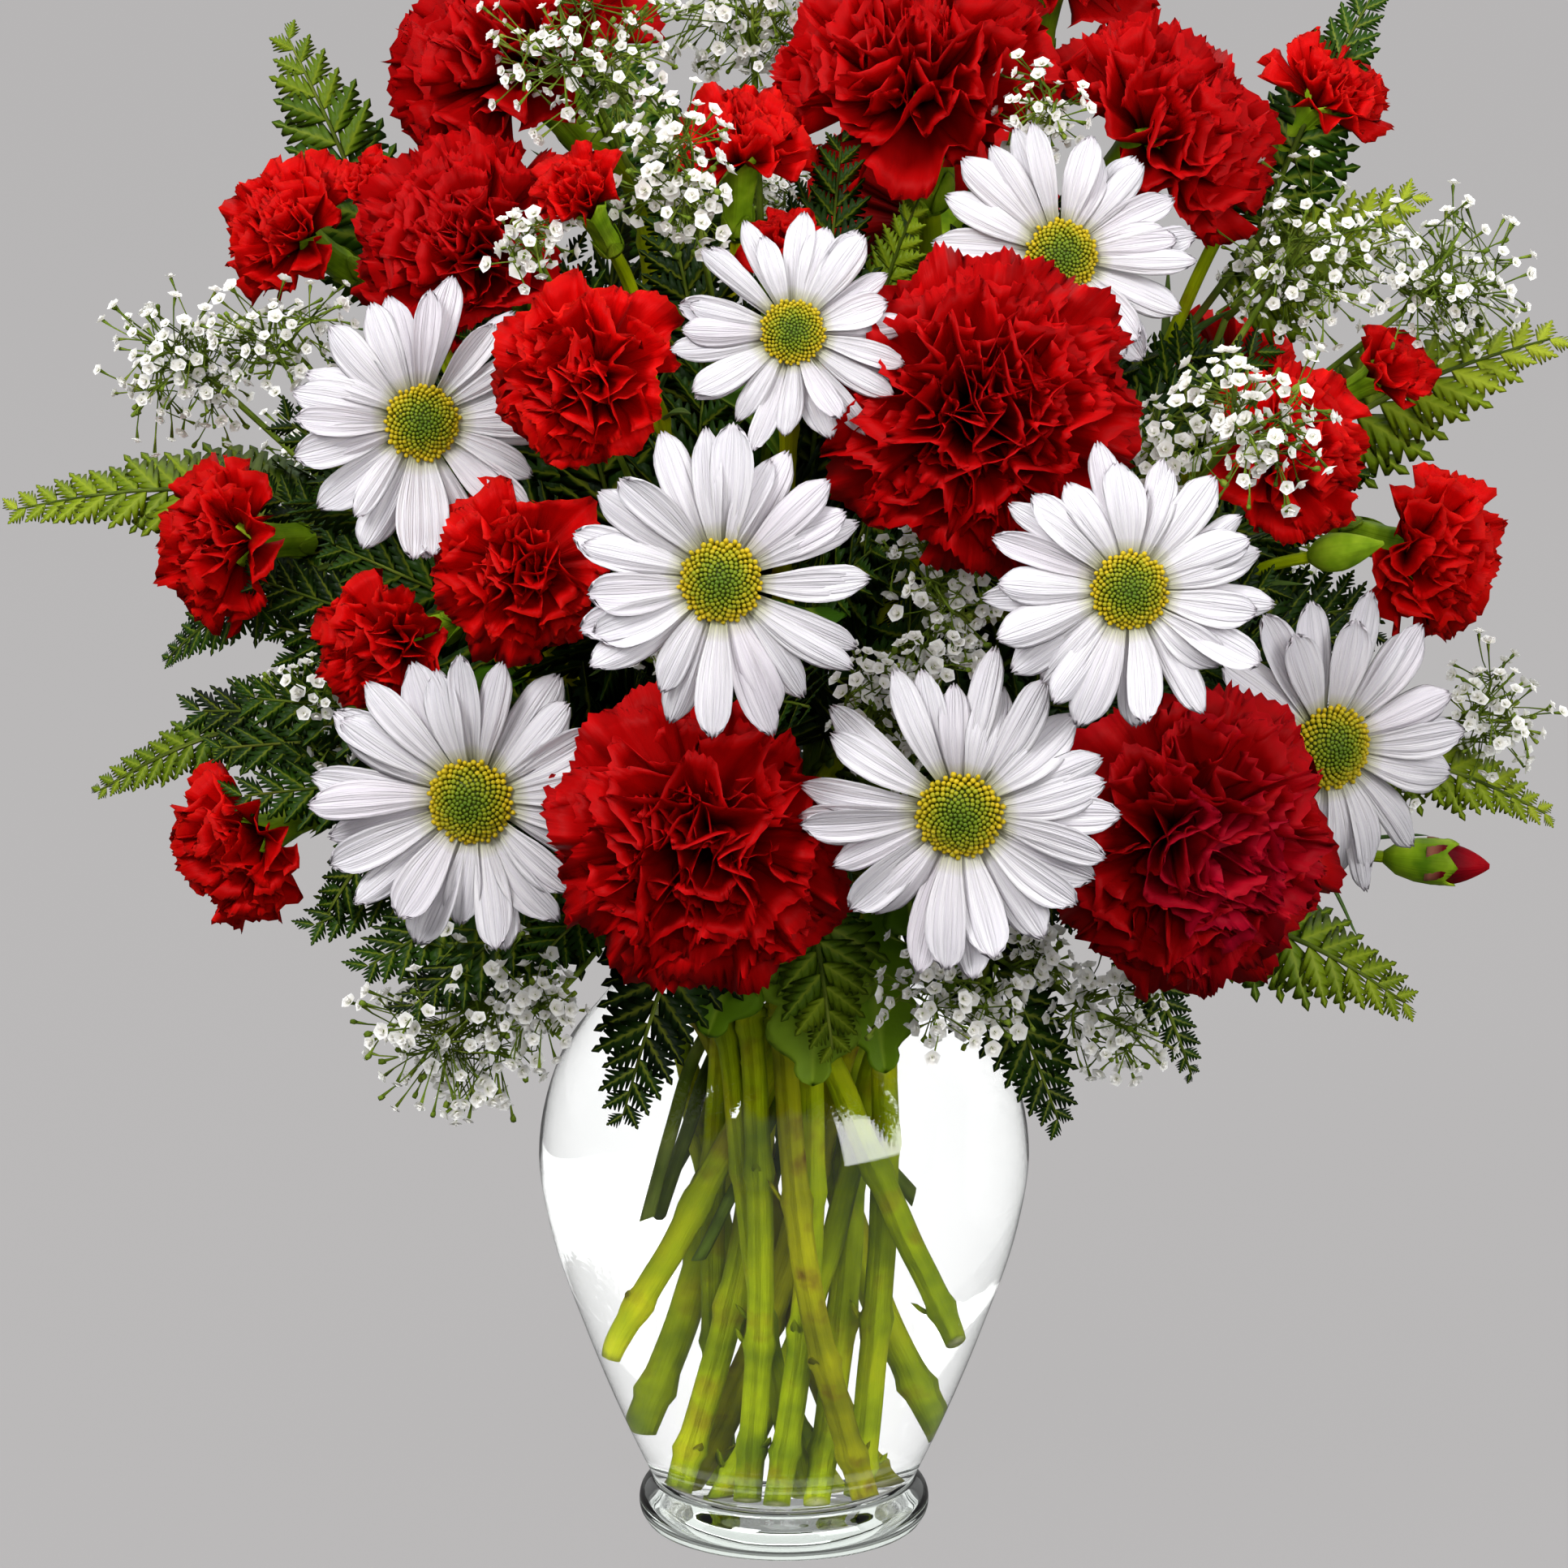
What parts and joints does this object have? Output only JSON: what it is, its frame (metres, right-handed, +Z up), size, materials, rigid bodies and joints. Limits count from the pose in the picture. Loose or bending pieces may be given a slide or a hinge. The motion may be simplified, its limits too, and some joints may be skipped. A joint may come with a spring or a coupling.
{
  "type": "carnation bouquet in a glass vase",
  "caption": "Bouquet of red carnations, white daisies, fern and gypsophila standing in water in a clear glass vase with a round shoulder and a flared foot.",
  "frame": {"origin": "centre of the underside of the vase's foot, on the table", "axes": "+Z up out of the vase's mouth, -Y towards the front of the bouquet, +X to the viewer's right"},
  "size_m": [0.3921, 0.3342, 0.4293],
  "materials": {
    "glass": "clear pressed glass, smooth and polished",
    "water": "clear still water",
    "red_petals": "matte velvety petals with cut edges",
    "white_petals": "matte satin petals, faintly ribbed",
    "carnation_green": "waxy green, slightly bloomed",
    "daisy_green": "smooth olive green stems",
    "fern_green": "leathery green leaflets",
    "gypsophila": "papery white florets on thin green stalks"
  },
  "bodies": {
    "root": {"carnation_1": "red_petals", "carnation_2": "red_petals", "carnation_3": "red_petals", "carnation_4": "red_petals", "carnation_5": "red_petals", "carnation_6": "red_petals", "carnation_7": "red_petals", "carnation_8": "red_petals", "carnation_9": "red_petals", "daisy_1": "white_petals", "daisy_10": "white_petals", "daisy_2": "white_petals", "daisy_3": "white_petals", "daisy_4": "white_petals", "daisy_5": "white_petals", "daisy_6": "white_petals", "daisy_7": "white_petals", "daisy_8": "white_petals", "daisy_9": "white_petals", "daisy_stem_front": "daisy_green", "daisy_stem_left": "daisy_green", "daisy_stem_right": "daisy_green", "fern_back": "fern_green", "fern_front": "fern_green", "fern_left": "fern_green", "fern_right": "fern_green", "fern_top": "fern_green", "gypsophila_front": "gypsophila", "gypsophila_left": "gypsophila", "gypsophila_right": "gypsophila", "gypsophila_top": "gypsophila", "small_carnation_1": "red_petals", "small_carnation_10": "red_petals", "small_carnation_11": "red_petals", "small_carnation_12": "red_petals", "small_carnation_13": "red_petals", "small_carnation_2": "red_petals", "small_carnation_3": "red_petals", "small_carnation_4": "red_petals", "small_carnation_5": "red_petals", "small_carnation_6": "red_petals", "small_carnation_7": "red_petals", "small_carnation_8": "red_petals", "small_carnation_9": "red_petals", "spray_front": "carnation_green", "spray_left": "carnation_green", "spray_right": "carnation_green", "spray_top": "carnation_green", "stem_of_carnation_1": "carnation_green", "stem_of_carnation_2": "carnation_green", "stem_of_carnation_3": "carnation_green", "stem_of_carnation_4": "carnation_green", "stem_of_carnation_5": "carnation_green", "stem_of_carnation_6": "carnation_green", "stem_of_carnation_7": "carnation_green", "stem_of_carnation_8": "carnation_green", "stem_of_carnation_9": "carnation_green", "vase": "glass", "water": "water"}
  },
  "joints": []
}
